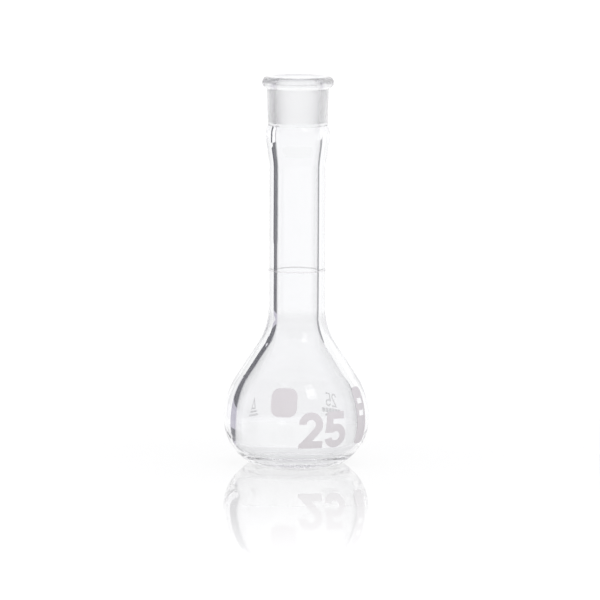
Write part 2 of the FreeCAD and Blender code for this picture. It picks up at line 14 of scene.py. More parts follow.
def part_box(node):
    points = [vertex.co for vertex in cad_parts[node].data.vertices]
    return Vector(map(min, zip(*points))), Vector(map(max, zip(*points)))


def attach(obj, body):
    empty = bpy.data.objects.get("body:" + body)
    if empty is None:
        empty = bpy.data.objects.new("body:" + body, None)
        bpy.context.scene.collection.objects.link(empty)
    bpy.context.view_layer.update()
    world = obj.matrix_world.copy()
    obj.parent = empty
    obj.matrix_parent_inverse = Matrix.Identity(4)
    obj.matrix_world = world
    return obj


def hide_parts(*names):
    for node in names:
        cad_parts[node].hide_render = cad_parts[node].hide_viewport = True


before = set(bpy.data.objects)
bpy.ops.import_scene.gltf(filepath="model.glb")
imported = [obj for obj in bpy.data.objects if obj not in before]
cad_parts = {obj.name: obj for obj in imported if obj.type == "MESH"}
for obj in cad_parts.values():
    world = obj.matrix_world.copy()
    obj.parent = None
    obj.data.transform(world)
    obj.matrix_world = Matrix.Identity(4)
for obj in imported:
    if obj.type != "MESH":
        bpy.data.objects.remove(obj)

LOG = logging.getLogger("flask")
MM = 0.001
BODY = "root"
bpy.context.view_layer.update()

Point = tuple[float, float]
Loop = list[Point]
Colour = tuple[float, float, float]


# ---- outlines ----


class Profile:
    """Outline of a turned wall, walked as (radius, height) points in millimetres.

    A chord turns by TURN radians at most, and the straight part of a bend is cut at RUN.
    """

    TURN = 0.14
    RUN = 0.6

    def __init__(self, radius: float, height: float, step: float = 0.35) -> None:
        """Starts the outline.

        Args:
            radius: First point's distance from the axis.
            height: First point's height.
            step: Longest chord on an arc.
        """
        self.points: Loop = [(radius, height)]
        self.step = step

    def line(self, radius: float, height: float, parts: int = 1) -> None:
        """Walks straight to a point.

        Args:
            radius: Distance from the axis.
            height: Height of the point.
            parts: How many equal parts the stretch is cut into.
        """
        r0, z0 = self.points[-1]
        for k in range(1, parts + 1):
            share = k / parts
            self.points.append((r0 + (radius - r0) * share, z0 + (height - z0) * share))

    def arc(self, middle: Point, end: Point) -> None:
        """Walks the shorter arc round a middle to a point.

        Args:
            middle: Centre of the arc.
            end: Last point of the arc.
        """
        r0, z0 = self.points[-1]
        start = math.atan2(z0 - middle[1], r0 - middle[0])
        turn = math.atan2(end[1] - middle[1], end[0] - middle[0]) - start
        turn = (turn + math.pi) % (2 * math.pi) - math.pi
        self.sweep(middle, turn)
        self.points[-1] = end

    def sweep(self, middle: Point, turn: float) -> None:
        """Walks an arc round a middle.

        Args:
            middle: Centre of the arc.
            turn: Angle in radians, positive anticlockwise.
        """
        r0, z0 = self.points[-1]
        radius = math.dist((r0, z0), middle)
        start = math.atan2(z0 - middle[1], r0 - middle[0])
        chords = math.ceil(radius * abs(turn) / self.step)
        parts = max(2, chords, math.ceil(abs(turn) / self.TURN))
        for k in range(1, parts + 1):
            angle = start + turn * k / parts
            x, z = middle[0] + radius * math.cos(angle), middle[1] + radius * math.sin(angle)
            self.points.append((x, z))

    def bend(self, low: Point, low_radius: float, high: Point, high_radius: float) -> None:
        """Walks arc, straight and arc between two points where the wall is upright.

        Args:
            low: Lower point.
            low_radius: Arc at the lower point.
            high: Upper point.
            high_radius: Arc at the upper point.
        """
        outward = 1 if high[0] > low[0] else -1
        low_middle = (low[0] + outward * low_radius, low[1])
        high_middle = (high[0] - outward * high_radius, high[1])
        across, along = high_middle[0] - low_middle[0], high_middle[1] - low_middle[1]
        lean = math.acos((low_radius + high_radius) / math.hypot(across, along))
        angle = math.atan2(along, across) + outward * lean
        x, z = math.cos(angle), math.sin(angle)
        low_end = (low_middle[0] + low_radius * x, low_middle[1] + low_radius * z)
        high_end = (high_middle[0] - high_radius * x, high_middle[1] - high_radius * z)
        legs = [(low_middle, low_end, low), (high_middle, high_end, high)]
        if abs(self.points[-1][1] - low[1]) > abs(self.points[-1][1] - high[1]):
            legs.reverse()
        self.arc(legs[0][0], legs[0][1])
        run = math.dist(legs[0][1], legs[1][1])
        self.line(*legs[1][1], parts=max(1, math.ceil(run / self.RUN)))
        self.arc(legs[1][0], legs[1][2])


def largest_pair(low: Point, high: Point) -> float:
    """Sum of the radii of the largest two arcs that join two upright points of a wall."""
    across, along = abs(low[0] - high[0]), high[1] - low[1]
    return (across**2 + along**2) / (2 * across)


def touching(big: Point, big_radius: float, small: Point, small_radius: float) -> Point:
    """Where a circle touches a larger one from inside, or from outside at a negative radius."""
    share = big_radius / (big_radius - small_radius)
    return (big[0] + (small[0] - big[0]) * share, big[1] + (small[1] - big[1]) * share)


# ---- node trees ----


class Tree:
    """A node tree under construction."""

    def __init__(self, tree: bpy.types.NodeTree) -> None:
        """Takes over a tree and clears it."""
        self.tree = tree
        tree.nodes.clear()

    def add(self, kind: str, inputs: Optional[dict[Any, Any]] = None, **settings: Any) -> Any:
        """Adds a node.

        Args:
            kind: The node's type.
            inputs: Socket name or number to a value or to another node's output socket.
            **settings: Attributes of the node.

        Returns:
            The node.
        """
        node = self.tree.nodes.new(kind)
        for name, value in settings.items():
            setattr(node, name, value)
        for name, value in (inputs or {}).items():
            self.feed(node.inputs[name], value)
        return node

    def feed(self, socket: Any, value: Any) -> None:
        """Gives an input socket what it shows.

        Args:
            socket: The input socket.
            value: A plain value or another node's output socket.
        """
        if isinstance(value, bpy.types.NodeSocket):
            self.tree.links.new(value, socket)
        else:
            socket.default_value = value

    def math(self, operation: str, *values: Any) -> Any:
        """Adds a Math node and gives its output."""
        node = self.add("ShaderNodeMath", dict(enumerate(values)), operation=operation)
        return node.outputs[0]

    def vector(self, operation: str, *values: Any) -> Any:
        """Adds a Vector Math node.

        Args:
            operation: The node's operation.
            *values: Its inputs in order. The second one of SCALE is the factor.

        Returns:
            Its first output, which is the vector.
        """
        node = self.add("ShaderNodeVectorMath", operation=operation)
        for number, value in enumerate(values):
            scaling = operation == "SCALE" and number
            self.feed(node.inputs["Scale" if scaling else number], value)
        return node.outputs[0]

    def turned(self, vector: Any, angle: Any) -> Any:
        """Turns a vector round the upright axis by an angle in radians."""
        inputs = {"Vector": vector, "Angle": angle}
        return self.add("ShaderNodeVectorRotate", inputs, rotation_type="Z_AXIS").outputs[0]


def stand(name: str, data: Any) -> bpy.types.Object:
    """Puts an object in the scene.

    Args:
        name: Name of the object.
        data: Its mesh, light or camera.

    Returns:
        The object.
    """
    made = bpy.data.objects.new(name, data)
    bpy.context.scene.collection.objects.link(made)
    return made


def material_of(name: str, surface: Callable[[Tree], Any]) -> bpy.types.Material:
    """Makes a material from its surface.

    Args:
        name: Name of the material.
        surface: Adds the shader's nodes to a tree and gives the shader's output.

    Returns:
        The material, with its nodes.
    """
    material = bpy.data.materials.new(name)
    material.use_nodes = True
    tree = Tree(material.node_tree)
    tree.add("ShaderNodeOutputMaterial", {"Surface": surface(tree)})
    return material


class GeometryTool:
    """A Geometry Nodes tree with named inputs, run once on a mesh to make a plain one."""

    NAME = "Tool"
    INPUTS: Sequence[tuple[str, str]] = ()

    def __init__(self) -> None:
        """Builds the tree with its inputs and its output."""
        group = bpy.data.node_groups.new(self.NAME, "GeometryNodeTree")
        group.interface.new_socket("Geometry", in_out="INPUT", socket_type="NodeSocketGeometry")
        for name, kind in self.INPUTS:
            group.interface.new_socket(name, in_out="INPUT", socket_type=kind)
        group.interface.new_socket("Geometry", in_out="OUTPUT", socket_type="NodeSocketGeometry")
        self.group = group
        self.sockets = {
            item.name: item.identifier
            for item in group.interface.items_tree
            if item.in_out == "INPUT"
        }
        tree = Tree(group)
        self.given = tree.add("NodeGroupInput").outputs
        made = self.make(tree)
        solid = tree.add("GeometryNodeRealizeInstances", {"Geometry": made})
        inputs = {"Geometry": solid.outputs[0], "Material": self.given["Material"]}
        dressed = tree.add("GeometryNodeSetMaterial", inputs)
        tree.add("NodeGroupOutput", {"Geometry": dressed.outputs[0]})

    def make(self, tree: Tree) -> Any:
        """Adds the tool's own nodes and gives their geometry output."""
        raise NotImplementedError

    def run(self, name: str, source: bpy.types.Mesh, **values: Any) -> bpy.types.Object:
        """Runs the tool on a mesh.

        Args:
            name: Name of the piece.
            source: Mesh that the tool starts from.
            **values: Input name, with spaces as underscores, to its value.

        Returns:
            A new object at the origin with the finished mesh.
        """
        worker = stand(name + "_worker", source)
        modifier = worker.modifiers.new(self.NAME, "NODES")
        modifier.node_group = self.group
        for key, value in values.items():
            modifier[self.sockets[key.replace("_", " ")]] = value
        graph = bpy.context.evaluated_depsgraph_get()
        made = bpy.data.meshes.new_from_object(worker.evaluated_get(graph), depsgraph=graph)
        worker.modifiers.clear()
        bpy.data.objects.remove(worker)
        made.name = name
        return stand(name, made)


class Lathe(GeometryTool):
    """Turns the points of a wall's outline round the flask's axis into a closed skin.

    LUMPS are the wobble's lumps per metre, STRETCH makes them taller, WELD closes the seam.
    """

    NAME = "Lathe"
    LUMPS = 46.0
    STRETCH = (1.0, 1.0, 0.45)
    WELD = 2e-6
    INPUTS = (
        ("Segments", "NodeSocketInt"),
        ("Rings", "NodeSocketInt"),
        ("Wobble", "NodeSocketFloat"),
        ("Seed", "NodeSocketFloat"),
        ("Material", "NodeSocketMaterial"),
    )

    def make(self, tree: Tree) -> Any:
        """Bends a grid round the axis, each row of it at one point of the outline.

        Args:
            tree: Tree to add the nodes to.

        Returns:
            The geometry output of the closed skin.
        """
        given = self.given
        columns = tree.math("ADD", given["Segments"], 1)
        sizes = {"Vertices X": columns, "Vertices Y": given["Rings"]}
        grid = tree.add("GeometryNodeMeshGrid", sizes)
        index = tree.add("GeometryNodeInputIndex").outputs[0]
        ring = tree.math("FLOORED_MODULO", index, given["Rings"])
        column = tree.math("FLOOR", tree.math("DIVIDE", index, given["Rings"]))
        around = tree.math("FLOORED_MODULO", column, given["Segments"])
        angle = tree.math("MULTIPLY", tree.math("DIVIDE", around, given["Segments"]), math.tau)
        position = tree.add("GeometryNodeInputPosition").outputs[0]
        sample = {"Geometry": given["Geometry"], "Index": ring}
        point = tree.add("GeometryNodeSampleIndex", sample, data_type="FLOAT_VECTOR")
        tree.tree.links.new(position, point.inputs["Value"])
        turned = tree.turned(point.outputs[0], angle)
        spread = tree.vector("MULTIPLY", turned, self.STRETCH)
        inputs = {"Vector": spread, "W": given["Seed"], "Scale": self.LUMPS, "Detail": 0.0}
        noise = tree.add("ShaderNodeTexNoise", inputs, noise_dimensions="4D")
        swing = tree.math("MULTIPLY", tree.math("SUBTRACT", noise.outputs[0], 0.5), given["Wobble"])
        outward = tree.vector("MULTIPLY", turned, (1.0, 1.0, 0.0))
        shift = tree.vector("SCALE", outward, swing)
        moved = {"Geometry": grid.outputs["Mesh"], "Position": tree.vector("ADD", turned, shift)}
        placed = tree.add("GeometryNodeSetPosition", moved).outputs[0]
        weld = {"Geometry": placed, "Distance": self.WELD}
        closed = tree.add("GeometryNodeMergeByDistance", weld)
        return tree.add("GeometryNodeSetShadeSmooth", {"Geometry": closed.outputs[0]}).outputs[0]

    def turn(
        self, name: str, points: Loop, material: bpy.types.Material, segments: int = 224,
        wobble: float = 0.0,
    ) -> bpy.types.Object:
        """Turns an outline.

        Args:
            name: Name of the piece.
            points: The outline in millimetres, closed or from axis to axis.
            material: First material of the piece.
            segments: Faces in one turn.
            wobble: Largest departure from round, as a share of the radius.

        Returns:
            The piece, with its faces outward and its corners sharp.
        """
        source = bpy.data.meshes.new(name + "_outline")
        source.from_pydata([(r * MM, 0.0, z * MM) for r, z in points], [], [])
        piece = self.run(
            name, source, Segments=segments, Rings=len(points), Wobble=wobble, Seed=3.0,
            Material=material,
        )
        settle(piece.data)
        return piece


class Transfer(GeometryTool):
    """Lays a flat mark on the outside of the glass and gives it the enamel's thickness.

    REACH is how far in front of the mark its rays start, in metres. WELD closes the film's rim.
    """

    NAME = "Transfer"
    REACH = 0.05
    WELD = 1e-6
    INPUTS = (
        ("Glass", "NodeSocketObject"),
        ("Azimuth", "NodeSocketFloat"),
        ("Lift", "NodeSocketFloat"),
        ("Film", "NodeSocketFloat"),
        ("Material", "NodeSocketMaterial"),
    )

    def make(self, tree: Tree) -> Any:
        """Casts each point inward onto the glass and thickens what lands there.

        Args:
            tree: Tree to add the nodes to.

        Returns:
            The geometry output of the closed film.
        """
        given = self.given
        glass = tree.add("GeometryNodeObjectInfo", {"Object": given["Glass"]})
        position = tree.add("GeometryNodeInputPosition").outputs[0]
        before = tree.vector("ADD", position, (0.0, -self.REACH, 0.0))
        start = tree.turned(before, given["Azimuth"])
        inward = tree.turned((0.0, 1.0, 0.0), given["Azimuth"])
        inputs = {"Target Geometry": glass.outputs["Geometry"], "Source Position": start}
        inputs |= {"Ray Direction": inward, "Ray Length": 2 * self.REACH}
        ray = tree.add("GeometryNodeRaycast", inputs)
        lift = tree.vector("SCALE", ray.outputs["Hit Normal"], given["Lift"])
        place = tree.vector("ADD", ray.outputs["Hit Position"], lift)
        moved = {"Geometry": given["Geometry"], "Position": place}
        laid = tree.add("GeometryNodeSetPosition", moved).outputs[0]
        pull = {"Mesh": laid, "Offset Scale": given["Film"], "Individual": False}
        raised = tree.add("GeometryNodeExtrudeMesh", pull)
        under = tree.add("GeometryNodeFlipFaces", {"Mesh": laid})
        both = tree.add("GeometryNodeJoinGeometry")
        tree.tree.links.new(raised.outputs["Mesh"], both.inputs[0])
        tree.tree.links.new(under.outputs[0], both.inputs[0])
        weld = {"Geometry": both.outputs[0], "Distance": self.WELD}
        return tree.add("GeometryNodeMergeByDistance", weld).outputs[0]


def settle(mesh: bpy.types.Mesh, corner: float = 35.0) -> None:
    """Turns a closed mesh's faces outward and keeps its real corners sharp.

    Args:
        mesh: The mesh.
        corner: Edges that turn by more degrees than this are corners.
    """
    work = bmesh.new()
    work.from_mesh(mesh)
    bmesh.ops.recalc_face_normals(work, faces=work.faces)
    work.to_mesh(mesh)
    work.free()
    mesh.set_sharp_from_angle(angle=math.radians(corner))


# ---- finishes ----


class Grain(Enum):
    """Direction that a finish's texture is drawn out in."""

    EVEN = (1.0, 1.0, 1.0)
    DRAWN = (1.0, 1.0, 0.06)
    GROUND = (1.0, 1.0, 7.0)


@dataclass(frozen=True)
class Finish:
    """A material whose look is worked out from the object's own coordinates."""

    name: str
    colour: Colour = (1.0, 1.0, 1.0)
    roughness: float = 0.0

    def build(self) -> bpy.types.Material:
        """Makes the material with its nodes."""
        return material_of(self.name, self.surface)

    def surface(self, tree: Tree) -> Any:
        """Adds the shader's nodes and gives its output."""
        raise NotImplementedError

    def noise(self, tree: Tree, grain: Grain, scale: float, detail: float = 2.0) -> Any:
        """Adds a noise on the object's coordinates.

        Args:
            tree: Tree to add it to.
            grain: Direction that the noise is drawn out in.
            scale: Lumps per metre.
            detail: How much finer noise is added.

        Returns:
            The noise's factor.
        """
        place = tree.add("ShaderNodeTexCoord").outputs["Object"]
        spread = tree.add("ShaderNodeMapping", {"Vector": place, "Scale": grain.value})
        inputs = {"Vector": spread.outputs[0], "Scale": scale, "Detail": detail}
        return tree.add("ShaderNodeTexNoise", inputs).outputs[0]

    def relief(self, tree: Tree, height: Any, strength: float, depth: float) -> Any:
        """Adds a relief of a depth in metres and gives its normal."""
        inputs = {"Height": height, "Strength": strength, "Distance": depth}
        return tree.add("ShaderNodeBump", inputs).outputs[0]

    def tinted(self, tree: Tree, factor: Any, other: Colour) -> Any:
        """Mixes the finish's colour with another.

        Args:
            tree: Tree to add the node to.
            factor: How much of the other colour there is.
            other: The other colour.

        Returns:
            The mixed colour.
        """
        mix = tree.add("ShaderNodeMix", {"Factor": factor}, data_type="RGBA")
        mix.inputs[6].default_value = (*self.colour, 1.0)
        mix.inputs[7].default_value = (*other, 1.0)
        return mix.outputs[2]


@dataclass(frozen=True)
class ClearGlass(Finish):
    """Fire-polished borosilicate glass with faint waves from drawing and blowing."""

    grain: Grain = Grain.EVEN
    wave: float = 0.010
    colour: Colour = (0.914, 0.916, 0.921)
    clearer: Colour = (0.92, 0.924, 0.928)
    ior: float = 1.474
    broad_scale: float = 150.0
    fine_scale: float = 900.0
    fine_share: float = 0.12
    depth: float = 0.0004

    def surface(self, tree: Tree) -> Any:
        """Glass with two sizes of waves and a trace of colour.

        Args:
            tree: Tree to add the nodes to.

        Returns:
            The shader's output.
        """
        broad = self.noise(tree, self.grain, self.broad_scale, 1.0)
        fine = self.noise(tree, self.grain, self.fine_scale)
        height = tree.math("ADD", broad, tree.math("MULTIPLY", fine, self.fine_share))
        normal = self.relief(tree, height, self.wave, self.depth)
        shade = self.tinted(tree, broad, self.clearer)
        inputs = {"Base Color": shade, "Roughness": self.roughness, "Normal": normal}
        inputs |= {"IOR": self.ior, "Transmission Weight": 1.0}
        return tree.add("ShaderNodeBsdfPrincipled", inputs).outputs[0]


@dataclass(frozen=True)
class GroundGlass(Finish):
    """Glass ground with fine grit: a milky face with rings left by the tool."""

    roughness: float = 0.48
    ior: float = 1.474
    clear: float = 0.96
    worn: Colour = (0.985, 0.985, 0.99)
    ring_scale: float = 700.0
    grit_scale: float = 9000.0
    uneven: float = 0.12
    depth: float = 0.00002

    def surface(self, tree: Tree) -> Any:
        """Rough glass whose roughness and relief follow the grinding.

        Args:
            tree: Tree to add the nodes to.

        Returns:
            The shader's output.
        """
        rings = self.noise(tree, Grain.GROUND, self.ring_scale, 3.0)
        grit = self.noise(tree, Grain.EVEN, self.grit_scale)
        change = tree.math("MULTIPLY", rings, self.uneven)
        rough = tree.math("ADD", self.roughness - self.uneven / 2, change)
        height = tree.math("ADD", tree.math("MULTIPLY", rings, 0.4), grit)
        normal = self.relief(tree, height, 0.5, self.depth)
        shade = self.tinted(tree, rings, self.worn)
        inputs = {"Base Color": shade, "Roughness": rough, "Normal": normal}
        inputs |= {"IOR": self.ior, "Transmission Weight": self.clear}
        return tree.add("ShaderNodeBsdfPrincipled", inputs).outputs[0]


@dataclass(frozen=True)
class Enamel(Finish):
    """Fired white enamel: matt, a little uneven in density, with the grain of the screen."""

    colour: Colour = (0.765, 0.735, 0.748)
    roughness: float = 0.55
    cover: float = 1.0
    thin: Colour = (0.80, 0.775, 0.785)
    cloud_scale: float = 420.0
    grain_scale: float = 5200.0
    depth: float = 0.00003

    def surface(self, tree: Tree) -> Any:
        """Enamel with clouds of thinner ink and a fine grain, clear where cover is below 1.

        Args:
            tree: Tree to add the nodes to.

        Returns:
            The shader's output.
        """
        clouds = self.noise(tree, Grain.EVEN, self.cloud_scale, 3.0)
        grain = self.noise(tree, Grain.EVEN, self.grain_scale)
        normal = self.relief(tree, grain, 0.5, self.depth)
        rough = tree.math("ADD", self.roughness, tree.math("MULTIPLY", grain, 0.2))
        shade = self.tinted(tree, clouds, self.thin)
        inputs = {"Base Color": shade, "Roughness": rough, "Normal": normal, "Alpha": self.cover}
        return tree.add("ShaderNodeBsdfPrincipled", inputs).outputs[0]


@dataclass(frozen=True)
class Seam(Finish):
    """The face where two blanks are melted together, which can't be seen."""

    def surface(self, tree: Tree) -> Any:
        """Nothing bends or stops the light."""
        return tree.add("ShaderNodeBsdfTransparent").outputs[0]


class Workshop:
    """The tools and finishes that the pieces share."""

    def __init__(self) -> None:
        """Makes each tool and finish once."""
        self.lathe = Lathe()
        self.transfer = Transfer()
        self.blown = ClearGlass("blown_glass").build()
        self.drawn = ClearGlass("drawn_glass", grain=Grain.DRAWN, wave=0.012).build()
        self.polished = ClearGlass("polished_glass", roughness=0.16, wave=0.008).build()
        self.ground = GroundGlass("ground_glass").build()
        self.enamel = Enamel("white_enamel").build()
        self.fine_enamel = Enamel("fine_white_enamel", (0.93, 0.91, 0.92), cover=0.22).build()
        self.seam = Seam("melted_seam").build()


class Slot(Enum):
    """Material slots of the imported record."""

    CLEAR = "clear_glass"
    MOUTH = "mouth_glass"
    ENAMEL = "enamel"


def hand_over(piece: bpy.types.Object, slot: Slot, *nodes: str) -> bpy.types.Object:
    """Puts a finished piece on the frame in place of its CAD nodes.

    Args:
        piece: The finished piece.
        slot: Its slot in the record. Not used.
        *nodes: The CAD nodes that it stands for.

    Returns:
        The same piece.
    """
    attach(piece, BODY)
    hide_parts(*nodes)
    LOG.info("%s: %d faces", piece.name, len(piece.data.polygons))
    return piece


def give_slot(
    piece: bpy.types.Object, material: bpy.types.Material, chosen: Iterable[bpy.types.MeshPolygon]
) -> None:
    """Adds a material to a piece and puts it on some faces.

    Args:
        piece: The piece.
        material: The material to add.
        chosen: The faces that get it.
    """
    piece.data.materials.append(material)
    number = len(piece.data.materials) - 1
    for face in chosen:
        face.material_index = number


# ---- the glass ----


@dataclass
class GlassSizes:
    """Sizes that the glass blanks share, in millimetres. Overall ones come from the model."""

    height: float = field(default_factory=lambda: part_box("ground_socket")[1].z / MM)
    bulb_radius: float = field(default_factory=lambda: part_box("bulb")[1].x / MM)
    neck_seam: float = field(default_factory=lambda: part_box("bulb")[1].z / MM)
    mouth_seam: float = field(default_factory=lambda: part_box("ground_socket")[0].z / MM)
    neck_radius: float = 8.17
    neck_wall: float = 2.32
    socket_radius: float = 6.5
    socket_length: float = 11.2
    socket_taper: float = 0.1
    mouth_wall: float = 2.36
    barrel_taper: float = 0.26

    @property
    def bore(self) -> float:
        """Radius of the neck's bore."""
        return self.neck_radius - self.neck_wall

    @property
    def socket_foot(self) -> float:
        """Small end of the ground socket, as a radius."""
        return self.socket_radius - self.socket_length * self.socket_taper / 2

    @property
    def barrel_top(self) -> float:
        """Outer radius of the mouth under its lip."""
        return self.socket_radius + self.mouth_wall

    @property
    def barrel_foot(self) -> float:
        """Outer radius of the mouth at its seam."""
        return self.barrel_top - self.barrel_taper


@dataclass
class Bulb:
    """The blown bulb: foot ring, punt, heel, shoulder and cavity. Sizes in millimetres."""

    shared: GlassSizes
    widest_height: float = 13.0
    foot_radius: float = 12.3
    foot_width: float = 2.1
    heel_radius: float = 3.0
    punt_rise: float = 1.4
    punt_edge: float = 2.5
    shoulder_share: float = 0.48
    blend_share: float = 0.41
    wall: float = 3.38
    base_glass: float = 2.2
    cavity_drop: float = 0.87
    cavity_heel_share: float = 0.66
    floor_share: float = 0.1
    cavity_shoulder_share: float = 0.55
    cavity_blend_share: float = 0.34
    blend_drop: float = 3.3

    def outline(self) -> Loop:
        """The wall from the punt's middle round the outside and back inside to the floor.

        Returns:
            The outline, from axis to axis.
        """
        walk = Profile(0.0, self.punt_rise)
        self.walk_foot(walk)
        self.walk_outside(walk)
        walk.line(self.shared.bore, self.shared.neck_seam, parts=3)
        self.walk_cavity(walk)
        return walk.points

    def walk_foot(self, walk: Profile) -> None:
        """Punt, its rounded edge and the flat foot ring.

        Args:
            walk: The outline, which grows.
        """
        inner = self.foot_radius - self.foot_width
        punt = (inner**2 + self.punt_rise**2) / (2 * self.punt_rise)
        middle = (0.0, self.punt_rise - punt)
        reach = math.sqrt((punt + self.punt_edge) ** 2 - (self.punt_edge - middle[1]) ** 2)
        edge = (reach, self.punt_edge)
        walk.step = 0.8
        walk.arc(middle, touching(middle, punt, edge, -self.punt_edge))
        walk.step = 0.3
        walk.arc(edge, (reach, 0.0))
        walk.line(self.foot_radius, 0.0, parts=3)

    def walk_outside(self, walk: Profile) -> None:
        """Heel, side, shoulder and the blend into the neck.

        Args:
            walk: The outline, which grows.
        """
        heel = (self.foot_radius, self.heel_radius)
        radius, widest = self.shared.bulb_radius, self.widest_height
        across, along = radius - heel[0], widest - heel[1]
        side = (across**2 + along**2 - self.heel_radius**2) / (2 * (across - self.heel_radius))
        side_middle = (radius - side, widest)
        walk.arc(heel, touching(side_middle, side, heel, self.heel_radius))
        walk.arc(side_middle, (radius, widest))
        low, high = (radius, widest), (self.shared.neck_radius, self.shared.neck_seam)
        pair = largest_pair(low, high)
        walk.bend(low, pair * self.shoulder_share, high, pair * self.blend_share)

    def walk_cavity(self, walk: Profile) -> None:
        """Bore, inner shoulder, inner side, inner heel and the domed floor.

        Args:
            walk: The outline, which grows.
        """
        radius = self.shared.bulb_radius - self.wall
        high = (self.shared.bore, self.shared.neck_seam - self.blend_drop)
        low = (radius, self.widest_height - self.cavity_drop)
        walk.line(*high, parts=6)
        pair = largest_pair(low, high)
        walk.bend(low, pair * self.cavity_shoulder_share, high, pair * self.cavity_blend_share)
        heel = (low[1] - self.base_glass) * self.cavity_heel_share
        foot = self.base_glass + heel
        walk.line(radius, foot, parts=5)
        reach = radius - heel
        rise = reach**2 / heel * self.floor_share / 2
        apex = self.base_glass + rise
        dome = (reach**2 + (foot - apex) ** 2 - heel**2) / (2 * rise)
        meeting = touching((0.0, apex - dome), dome, (reach, foot), -heel)
        walk.arc((reach, foot), meeting)
        walk.step = 0.8
        walk.arc((0.0, apex - dome), (0.0, apex))

    def build(self, shop: Workshop) -> bpy.types.Object:
        """Turns the bulb and marks its seam.

        Args:
            shop: Tools and finishes.

        Returns:
            The bulb.
        """
        piece = shop.lathe.turn("glass_bulb", self.outline(), shop.blown, wobble=0.006)
        seam = self.shared.neck_seam * MM
        give_slot(piece, shop.seam, [f for f in piece.data.polygons if level_at(f, seam)])
        return hand_over(piece, Slot.CLEAR, "bulb")


def level_at(
    face: bpy.types.MeshPolygon, height: float, upright: float = 0.99, near: float = 1e-5
) -> bool:
    """True for a level face at a height in metres."""
    return abs(face.normal.z) > upright and abs(face.center.z - height) < near


@dataclass
class NeckTube:
    """The drawn neck tube with the collar that its top swells into. Sizes in millimetres."""

    shared: GlassSizes
    flare_length: float = 9.9
    flare_share: float = 0.45
    collar_swell: float = 0.74
    collar_hollow: float = 0.62
    collar_drop: float = 2.7

    def outline(self) -> Loop:
        """The wall from the outside of the seam with the bulb up, across and back down.

        Returns:
            The closed outline.
        """
        s = self.shared
        crest = s.mouth_seam - self.collar_drop
        flare = crest - self.flare_length
        walk = Profile(s.neck_radius, s.neck_seam)
        walk.line(s.neck_radius, flare, parts=30)
        out = ((s.neck_radius, flare), (s.barrel_foot + self.collar_swell, crest))
        self.walk_flare(walk, out)
        self.walk_curl(walk, out[1], (s.barrel_foot, s.mouth_seam))
        walk.line(s.socket_foot, s.mouth_seam, parts=3)
        back = ((s.bore, flare), (s.socket_foot + self.collar_hollow, crest))
        self.walk_curl(walk, (s.socket_foot, s.mouth_seam), back[1])
        self.walk_flare(walk, back)
        walk.line(s.bore, s.neck_seam, parts=30)
        walk.line(s.neck_radius, s.neck_seam, parts=3)
        return walk.points

    def walk_flare(self, walk: Profile, ends: tuple[Point, Point]) -> None:
        """The swell between tube and crest, walked from whichever end is nearer."""
        arc = largest_pair(*ends) * self.flare_share
        walk.bend(ends[0], arc, ends[1], arc)

    def walk_curl(self, walk: Profile, start: Point, end: Point) -> None:
        """The arc between the collar's crest and the seam above it.

        Args:
            walk: The outline, which grows.
            start: Where the arc starts, at the crest or the seam.
            end: Its other end.
        """
        crest, seam = sorted((start, end), key=lambda point: point[1])
        inward, rise = crest[0] - seam[0], seam[1] - crest[1]
        radius = (inward**2 + rise**2) / (2 * inward)
        walk.arc((crest[0] - radius, crest[1]), end)

    def build(self, shop: Workshop) -> bpy.types.Object:
        """Turns the tube and marks both of its seams.

        Args:
            shop: Tools and finishes.

        Returns:
            The tube.
        """
        piece = shop.lathe.turn("glass_neck", self.outline(), shop.drawn, wobble=0.004)
        ends = (self.shared.neck_seam * MM, self.shared.mouth_seam * MM)
        seams = [f for f in piece.data.polygons if any(level_at(f, z) for z in ends)]
        give_slot(piece, shop.seam, seams)
        return hand_over(piece, Slot.CLEAR, "neck_tube")


